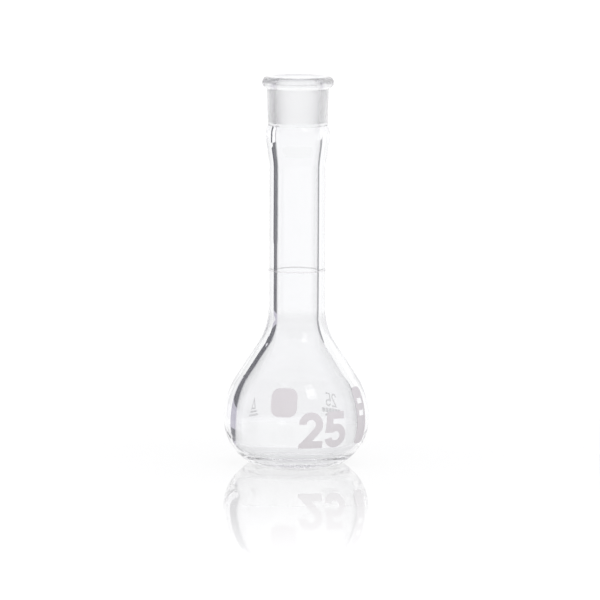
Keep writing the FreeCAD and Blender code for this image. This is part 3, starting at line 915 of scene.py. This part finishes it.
@dataclass
class Mouth:
    """The mouth: barrel, beaded lip, polished flare and ground socket. Sizes in millimetres."""

    shared: GlassSizes
    lip_overhang: float = 1.44
    bead_radius: float = 1.7
    bead_fillet: float = 0.6

    @property
    def bead(self) -> Point:
        """Middle of the bead's section."""
        return (
            self.shared.barrel_top + self.lip_overhang - self.bead_radius,
            self.shared.height - self.bead_radius,
        )

    @property
    def socket_top(self) -> float:
        """Height of the large end of the ground socket."""
        return self.shared.height - (self.bead[0] - self.shared.socket_radius)

    def outline(self) -> Loop:
        """The wall from the outside of the seam up over the lip and down the socket.

        Returns:
            The closed outline.
        """
        s = self.shared
        walk = Profile(s.barrel_foot, s.mouth_seam, step=0.22)
        self.walk_lip(walk)
        walk.arc((self.bead[0], self.socket_top), (s.socket_radius, self.socket_top))
        walk.line(s.socket_foot, self.socket_top - s.socket_length, parts=36)
        walk.line(s.socket_foot, s.mouth_seam, parts=2)
        walk.line(s.barrel_foot, s.mouth_seam, parts=3)
        return walk.points

    def walk_lip(self, walk: Profile) -> None:
        """The barrel, the fillet under the bead and the bead up to its crest.

        Args:
            walk: The outline, which grows.
        """
        s = self.shared
        reach = self.bead_radius + self.bead_fillet
        across = s.barrel_top + self.bead_fillet - self.bead[0]
        height = self.bead[1] - math.sqrt(reach**2 - across**2)
        fillet = (s.barrel_top + self.bead_fillet, height)
        meeting = touching(self.bead, self.bead_radius, fillet, -self.bead_fillet)
        walk.line(s.barrel_top, height, parts=12)
        walk.arc(fillet, meeting)
        start = math.atan2(meeting[1] - self.bead[1], meeting[0] - self.bead[0])
        walk.sweep(self.bead, math.pi / 2 - start)

    def build(self, shop: Workshop) -> bpy.types.Object:
        """Turns the mouth and marks its seam and its ground face.

        Args:
            shop: Tools and finishes.

        Returns:
            The mouth.
        """
        s = self.shared
        piece = shop.lathe.turn("glass_mouth", self.outline(), shop.polished, wobble=0.003)
        faces = piece.data.polygons
        give_slot(piece, shop.seam, [f for f in faces if level_at(f, s.mouth_seam * MM)])
        low, high = (self.socket_top - s.socket_length) * MM, self.socket_top * MM
        wide = s.socket_radius * MM
        ground = [f for f in faces if low < f.center.z < high and f.center.xy.length < wide]
        give_slot(piece, shop.ground, ground)
        return hand_over(piece, Slot.MOUTH, "ground_socket")


# ---- the enamel ----


class Stencil:
    """Flat marks drawn as loops in millimetres, x across and y up.

    HEEL and LEAN are shares of the stroke, STEM of the bowl's inside. TAIL is in degrees.
    """

    HEEL = 0.45
    LEAN = 0.35
    STEM = 0.7
    TAIL = 196.0

    @staticmethod
    def box(x: float, y: float, width: float, height: float, corner: float = 0.0) -> Loop:
        """An upright rectangle.

        Args:
            x: Its middle across.
            y: Its middle upward.
            width: Its width.
            height: Its height.
            corner: Radius of its corners, or 0.

        Returns:
            The loop.
        """
        found: Loop = []
        for quarter, (i, j) in enumerate(((1, 1), (-1, 1), (-1, -1), (1, -1))):
            cx, cy = x + i * (width / 2 - corner), y + j * (height / 2 - corner)
            steps = 8 if corner else 0
            for k in range(steps + 1):
                angle = math.pi / 2 * (quarter + k / max(steps, 1))
                found.append((cx + corner * math.cos(angle), cy + corner * math.sin(angle)))
        return found

    @staticmethod
    def ring_arc(walk: Profile, middle: Point, end: Point, clockwise: bool) -> None:
        """Walks an arc the given way round, however long it is.

        Args:
            walk: The outline, which grows.
            middle: Centre of the arc.
            end: Last point of the arc.
            clockwise: Which way round it goes.
        """
        x0, y0 = walk.points[-1]
        start = math.atan2(y0 - middle[1], x0 - middle[0])
        turn = (math.atan2(end[1] - middle[1], end[0] - middle[0]) - start) % math.tau
        walk.sweep(middle, turn - math.tau if clockwise else turn)
        walk.points[-1] = end

    @classmethod
    def two(cls, width: float, height: float, stroke: float, base: float) -> Loop:
        """A plain figure 2.

        Args:
            width: Width of the figure.
            height: Height of the figure.
            stroke: Width of its line.
            base: Height of its foot.

        Returns:
            The loop.
        """
        half, inner, middle = width / 2, width / 2 - stroke, base + height - width / 2
        heel = base + stroke * cls.HEEL
        corner = (-half, heel - middle)
        turn = math.atan2(corner[1], corner[0]) + math.acos(inner / math.hypot(*corner))
        x, y = math.cos(turn), math.sin(turn)
        walk = Profile(-inner, middle, step=width / 30)
        walk.line(-half, middle)
        cls.ring_arc(walk, (0, middle), (half * x, middle + half * y), clockwise=True)
        run = (base + stroke - walk.points[-1][1]) / x
        walk.line(walk.points[-1][0] - run * y, base + stroke)
        for point in ((half, base + stroke), (half, base), (-half, base), (-half, heel)):
            walk.line(*point)
        walk.line(inner * x, middle + inner * y)
        cls.ring_arc(walk, (0, middle), (-inner, middle), clockwise=False)
        return walk.points[:-1]

    @classmethod
    def five(cls, width: float, height: float, stroke: float, base: float) -> Loop:
        """A plain figure 5.

        Args:
            width: Width of the figure.
            height: Height of the figure.
            stroke: Width of its line.
            base: Height of its foot.

        Returns:
            The loop.
        """
        half, inner, middle, top = width / 2, width / 2 - stroke, base + width / 2, base + height
        lean, stem = stroke * cls.LEAN, middle + inner * cls.STEM
        join = stroke + lean / 2 - half
        tail = math.radians(cls.TAIL)
        x, y = math.cos(tail), math.sin(tail)
        walk = Profile(half - lean, top, step=width / 30)
        walk.line(lean - half, top)
        walk.line(-half, stem)
        walk.line(-math.sqrt(inner**2 - (stem - middle) ** 2), stem)
        cls.ring_arc(walk, (0, middle), (inner * x, middle + inner * y), clockwise=True)
        walk.line(half * x, middle + half * y)
        bowl_end = (join, middle + math.sqrt(half**2 - join**2))
        cls.ring_arc(walk, (0, middle), bowl_end, clockwise=False)
        walk.line(join, top - stroke)
        walk.line(half - lean, top - stroke)
        return walk.points

    @staticmethod
    def cut(name: str, loops: Sequence[Loop], cell: float = 0.45) -> bpy.types.Mesh:
        """Fills loops, leaving inner ones open, and cuts the sheet into small cells.

        Args:
            name: Name of the mesh.
            loops: Outer loops and the openings in them.
            cell: Size of a cell in millimetres.

        Returns:
            A flat mesh in the XZ plane, in metres, that faces -Y.
        """
        work = bmesh.new()
        for loop in loops:
            corners = [work.verts.new((x * MM, 0.0, y * MM)) for x, y in loop]
            for k, corner in enumerate(corners):
                work.edges.new((corner, corners[(k + 1) % len(corners)]))
        bmesh.ops.triangle_fill(work, use_beauty=True, edges=work.edges[:], normal=(0, -1, 0))
        every = [point for loop in loops for point in loop]
        for axis, normal in ((0, (1, 0, 0)), (1, (0, 0, 1))):
            low, high = min(p[axis] for p in every), max(p[axis] for p in every)
            for k in range(1, math.ceil((high - low) / cell)):
                level = (low + k * cell) * MM
                where = (level, 0, 0) if axis == 0 else (0, 0, level)
                parts = work.verts[:] + work.edges[:] + work.faces[:]
                bmesh.ops.bisect_plane(work, geom=parts, dist=1e-7, plane_co=where, plane_no=normal)
        for face in work.faces:
            if face.normal.y > 0:
                face.normal_flip()
        mesh = bpy.data.meshes.new(name + "_flat")
        work.to_mesh(mesh)
        work.free()
        return mesh


@dataclass
class Marks:
    """The fired enamel marks on the glass. Sizes in millimetres, azimuths in degrees.

    A figure is its width, height, stroke and base; a spot or panel its width, height, corner
    and base; the triangle its width, height, line and base; a bar its length, height and gap.
    """

    shared: GlassSizes
    shop: Workshop
    bulb: bpy.types.Object
    film: float = 0.06
    lift: float = 0.015
    mark_height: float = 55.5
    mark_width: float = 0.42
    figures_azimuth: float = 22.5
    figure: tuple[float, float, float, float] = (6.9, 10.4, 2.1, 6.5)
    gap: float = 0.8
    spot: tuple[float, float, float, float] = (7.5, 8.0, 2.4, 15.5)
    panel: tuple[float, float, float, float] = (5.0, 16.2, 1.6, 6.7)
    panel_offset: float = 4.8
    slot: tuple[float, float] = (2.6, 1.5)
    slot_drop: float = 5.6
    slot_pitch: float = 3.4
    class_azimuth: float = 224.0
    triangle: tuple[float, float, float, float] = (2.3, 3.5, 0.42, 13.7)
    bar: tuple[float, float, float] = (4.4, 0.5, 0.45)
    back_azimuth: float = 145.5
    small: tuple[float, float, float, float] = (2.05, 3.8, 0.46, 14.1)
    block: tuple[float, float] = (1.05, 1.15)
    blocks: int = 6

    def round_bulb(self, length: float) -> float:
        """A length round the bulb's widest place as an angle in degrees."""
        return math.degrees(length / self.shared.bulb_radius)

    def lay(self, enamel: bpy.types.Material, node: str, azimuth: float, *loops: Loop) -> None:
        """Lays one mark on the bulb in place of its CAD node.

        Args:
            enamel: The mark's material.
            node: The CAD node, whose name the mark takes.
            azimuth: Where its middle goes, in degrees.
            *loops: Its outline and openings.
        """
        piece = self.shop.transfer.run(
            node + "_enamel",
            Stencil.cut(node, loops),
            Glass=self.bulb,
            Azimuth=math.radians(azimuth),
            Lift=self.lift * MM,
            Film=self.film * MM,
            Material=enamel,
        )
        settle(piece.data)
        hand_over(piece, Slot.ENAMEL, node)

    def build(self) -> None:
        """Makes every mark."""
        self.build_ring()
        self.build_figures()
        self.build_patches()
        self.build_fine_marks()

    def build_ring(self) -> None:
        """The filling mark round the neck, with soft edges."""
        inner = self.shared.neck_radius + self.lift
        outer, half = inner + self.film, self.mark_width / 2
        low, high, soft = self.mark_height - half, self.mark_height + half, self.film / 2
        points = [
            (inner, low),
            (outer - soft / 2, low + soft / 3),
            (outer, low + soft),
            (outer, high - soft),
            (outer - soft / 2, high - soft / 3),
            (inner, high),
            (inner, low),
        ]
        fine = self.shop.fine_enamel
        piece = self.shop.lathe.turn("graduation_ring_enamel", points, fine, segments=256)
        hand_over(piece, Slot.ENAMEL, "graduation_ring")

    def build_figures(self) -> None:
        """The big figures in front and the small ones on the back."""
        big_step = self.round_bulb(self.figure[0] + self.gap)
        small_step = self.round_bulb(self.small[0] + self.bar[2])
        for family, enamel, middle, step, sizes in (
            ("capacity_figure", self.shop.enamel, self.figures_azimuth, big_step, self.figure),
            ("back_figure", self.shop.fine_enamel, self.back_azimuth, small_step, self.small),
        ):
            for digit, draw, side in (("_2", Stencil.two, -0.5), ("_5", Stencil.five, 0.5)):
                azimuth = middle + step * side
                self.lay(enamel, family + digit, azimuth, draw(*sizes))

    def build_patches(self) -> None:
        """The writing spot and the side panel."""
        step = self.round_bulb(self.figure[0] + self.gap)
        width, height, corner, base = self.spot
        azimuth = self.figures_azimuth - step - self.round_bulb(self.gap / 2 + width / 2)
        spot = Stencil.box(0, base + height / 2, width, height, corner)
        self.lay(self.shop.enamel, "marking_spot", azimuth, spot)
        width, height, corner, base = self.panel
        azimuth = self.figures_azimuth + step + self.round_bulb(self.panel_offset + width / 2)
        loops = [Stencil.box(0, base + height / 2, width, height, corner)]
        for side in (0.5, -0.5):
            level = base + height - self.slot_drop + self.slot_pitch * side
            loops.append(Stencil.box(0, level, *self.slot))
        self.lay(self.shop.enamel, "side_panel", azimuth, *loops)

    def build_fine_marks(self) -> None:
        """The class mark with its bars, and the blocks on the back."""
        fine = self.shop.fine_enamel
        width, height, line, base = self.triangle
        half = width / 2
        top = height - line * math.hypot(half, height) / half
        inner = half * (top - line) / height
        outside = [(half, base), (0.0, base + height), (-half, base)]
        opening = [(inner, base + line), (0.0, base + top), (-inner, base + line)]
        self.lay(fine, "class_triangle", self.class_azimuth, outside, opening)
        length, bar, gap = self.bar
        bars = [
            Stencil.box(0, base - (bar + gap) * row + bar / 2, length * share, bar)
            for row, share in ((1, 0.7), (2, 1.0))
        ]
        self.lay(fine, "class_bars", self.class_azimuth, *bars)
        pitch = self.block[0] + gap / 2
        level = self.small[3] - gap - self.block[1] / 2
        row = [
            Stencil.box(pitch * (k - (self.blocks - 1) / 2), level, *self.block)
            for k in range(self.blocks)
        ]
        under = level - self.block[1] / 2 - gap - bar / 2
        row.append(Stencil.box(0, under, pitch * (self.blocks - 2), bar))
        self.lay(fine, "back_blocks", self.back_azimuth, *row)


# ---- the studio ----


@dataclass
class Card:
    """An upright card that stands on a line of floor points and goes up to a height."""

    name: str
    line: Sequence[Point]
    low: float
    high: float
    glow: Colour
    backdrop: bool = False

    def build(self) -> None:
        """Stands the card up. One that is no backdrop shows only in the glass and the floor."""
        mesh = bpy.data.meshes.new(self.name)
        points = [(x, y, z) for x, y in self.line for z in (self.low, self.high)]
        faces = [(2 * k, 2 * k + 2, 2 * k + 3, 2 * k + 1) for k in range(len(self.line) - 1)]
        mesh.from_pydata(points, [], faces)
        card = stand(self.name, mesh)
        card.visible_camera = self.backdrop
        mesh.materials.append(glowing(self.name, self.glow))


def round_line(start: float, end: float, distance: float) -> list[Point]:
    """Floor points round the flask from one bearing to another, in degrees from +Y."""
    bearings = [math.radians(start + (end - start) * k / 24) for k in range(25)]
    return [(distance * math.sin(b), distance * math.cos(b)) for b in bearings]


def glowing(name: str, glow: Colour) -> bpy.types.Material:
    """A material that only gives off light."""
    light = {"Color": (*glow, 1.0)}
    return material_of(name, lambda tree: tree.add("ShaderNodeEmission", light).outputs[0])


WHITE, WARM_WHITE = (1.11, 1.11, 1.11), (0.9, 0.89, 0.91)
LILAC, GREY, BLACK = (0.56, 0.54, 0.62), (0.4, 0.4, 0.42), (0.14, 0.14, 0.16)


@dataclass
class Studio:
    """White sweep, dark and grey cards, soft boxes, floor, camera. Metres and degrees."""

    camera_distance: float = 2.0
    camera_height: float = 0.268
    frame_width: float = 0.1707
    aim_height: float = 0.0468
    aim_side: float = 0.0009
    roll: float = 0.3
    floor_glow: float = 0.945
    gloss_reach: float = 0.3
    gloss_share: float = 0.55
    gloss_roughness: float = 0.015
    matt_grey: float = 0.2
    floor_half: float = 3.3
    floor_drop: float = 0.00002
    room_glow: float = 0.86
    bounces: int = 64
    cards: tuple[Card, ...] = (
        Card("sweep", round_line(-31.0, 50.0, 3.2), 0.0, 2.6, WHITE, True),
        Card("heel_flag", [(-0.106, 0.126), (-0.106, 0.02)], 0.0, 0.02, LILAC),
        Card("bulb_flag", [(-0.106, 0.126), (-0.106, 0.02)], 0.02, 0.046, BLACK),
        Card("neck_flag", [(-0.106, 0.150), (-0.106, 0.02)], 0.046, 0.082, BLACK),
        Card("dark_screen", round_line(-80.0, -46.0, 0.6), 0.2, 0.8, BLACK),
        Card("grey_flag", [(0.106, 0.080), (0.106, 0.0)], 0.0, 0.083, GREY),
        Card("grey_screen", round_line(53.0, 90.0, 0.6), 0.2, 0.8, GREY),
        Card("front_wall", round_line(115.0, 245.0, 3.0), 0.0, 5.0, WARM_WHITE, True),
    )

    def build(self) -> None:
        """Sets everything up round the flask."""
        for card in self.cards:
            card.build()
        self.build_floor()
        self.build_world()
        self.build_lights()
        self.build_camera()
        self.set_light_paths()

    def build_world(self) -> None:
        """Even light from the room."""
        world = bpy.data.worlds.new("room")
        bpy.context.scene.world = world
        world.use_nodes = True
        tree = Tree(world.node_tree)
        light = {"Color": (0.96, 0.94, 1.0, 1.0), "Strength": self.room_glow}
        room = tree.add("ShaderNodeBackground", light)
        tree.add("ShaderNodeOutputWorld", {"Surface": room.outputs[0]})

    def build_floor(self) -> None:
        """A white acrylic floor, glossiest where the flask stands."""
        mesh = bpy.data.meshes.new("floor")
        half, level = self.floor_half, -self.floor_drop
        corners = [(-half, -half), (half, -half), (half, half), (-half, half)]
        mesh.from_pydata([(x, y, level) for x, y in corners], [], [(0, 1, 2, 3)])
        floor = stand("floor", mesh)
        mesh.materials.append(material_of("white_acrylic", self.acrylic))

    def acrylic(self, tree: Tree) -> Any:
        """The floor's surface: bright and matt, with a gloss that fades outward.

        Args:
            tree: Tree to add the nodes to.

        Returns:
            The shader's output.
        """
        place = tree.add("ShaderNodeTexCoord").outputs["Object"]
        flat = tree.vector("MULTIPLY", place, (1.0, 1.0, 0.0))
        away = tree.add("ShaderNodeVectorMath", {0: flat}, operation="LENGTH").outputs["Value"]
        fade = tree.add(
            "ShaderNodeMapRange",
            {"Value": away, "From Max": self.gloss_reach, "To Min": 1.0, "To Max": 0.0},
            interpolation_type="SMOOTHSTEP",
        ).outputs[0]
        base = tree.add("ShaderNodeBsdfDiffuse", {"Color": (*[self.matt_grey] * 3, 1.0)})
        glow = tree.add("ShaderNodeEmission", {"Strength": self.floor_glow})
        matt = tree.add("ShaderNodeAddShader", {0: base.outputs[0], 1: glow.outputs[0]})
        gloss = tree.add("ShaderNodeBsdfGlossy", {"Roughness": self.gloss_roughness})
        share = tree.math("MULTIPLY", fade, self.gloss_share)
        parts = {0: share, 1: matt.outputs[0], 2: gloss.outputs[0]}
        return tree.add("ShaderNodeMixShader", parts).outputs[0]

    def build_lights(self) -> None:
        """A small key box in front to the right and a broad one overhead."""
        self.add_box(
            "key_box", azimuth=31.0, elevation=38.0, distance=1.5, size=0.4, power=0.9,
            mirrored=True,
        )
        self.add_box(
            "top_box", azimuth=150.0, elevation=74.0, distance=1.6, size=1.6, power=3.0,
            mirrored=False,
        )

    def add_box(
        self, name: str, azimuth: float, elevation: float, distance: float, size: float,
        power: float, mirrored: bool,
    ) -> None:
        """Adds a soft box that faces the flask.

        Args:
            name: Name of the light.
            azimuth: Bearing from the camera's side, positive to the right, in degrees.
            elevation: Height over the floor in degrees.
            distance: Distance from the flask.
            size: Side of the box.
            power: Power in watts.
            mirrored: Whether the glass shows it.
        """
        light = bpy.data.lights.new(name, "AREA")
        light.shape, light.size, light.energy = "SQUARE", size, power
        lamp = stand(name, light)
        lamp.visible_glossy = mirrored
        lamp.visible_transmission = mirrored
        a, e = math.radians(azimuth), math.radians(elevation)
        toward = Vector((math.sin(a) * math.cos(e), -math.cos(a) * math.cos(e), math.sin(e)))
        lamp.location = toward * distance + Vector((0.0, 0.0, self.aim_height))
        lamp.rotation_mode = "QUATERNION"
        lamp.rotation_quaternion = toward.to_track_quat("Z", "Y")

    def build_camera(self) -> None:
        """A long lens in front of the flask, a little above it."""
        camera = bpy.data.cameras.new("camera")
        camera.sensor_width = 36.0
        camera.lens = camera.sensor_width * self.camera_distance / self.frame_width
        camera.clip_end = 20.0
        holder = stand("camera", camera)
        eye = Vector((self.aim_side, -self.camera_distance, self.camera_height))
        target = Vector((self.aim_side, 0.0, self.aim_height))
        holder.location = eye
        holder.rotation_mode = "QUATERNION"
        aim = (target - eye).to_track_quat("-Z", "Y").to_matrix()
        roll = Matrix.Rotation(math.radians(self.roll), 3, "Z")
        holder.rotation_quaternion = (aim @ roll).to_quaternion()
        bpy.context.scene.camera = holder

    def set_light_paths(self) -> None:
        """Lets light pass through every wall of the glass."""
        scene = bpy.context.scene
        scene.view_settings.view_transform = "Standard"
        scene.view_settings.look = "None"
        scene.cycles.max_bounces = self.bounces
        scene.cycles.transmission_bounces = self.bounces
        scene.cycles.glossy_bounces = self.bounces
        scene.cycles.transparent_max_bounces = 32


def main() -> None:
    """Builds the flask and the studio round it."""
    logging.basicConfig(level=logging.INFO, format="%(name)s: %(message)s")
    shop = Workshop()
    shared = GlassSizes()
    bulb = Bulb(shared).build(shop)
    NeckTube(shared).build(shop)
    Mouth(shared).build(shop)
    Marks(shared, shop, bulb).build()
    Studio().build()


if __name__ == "__main__":
    main()
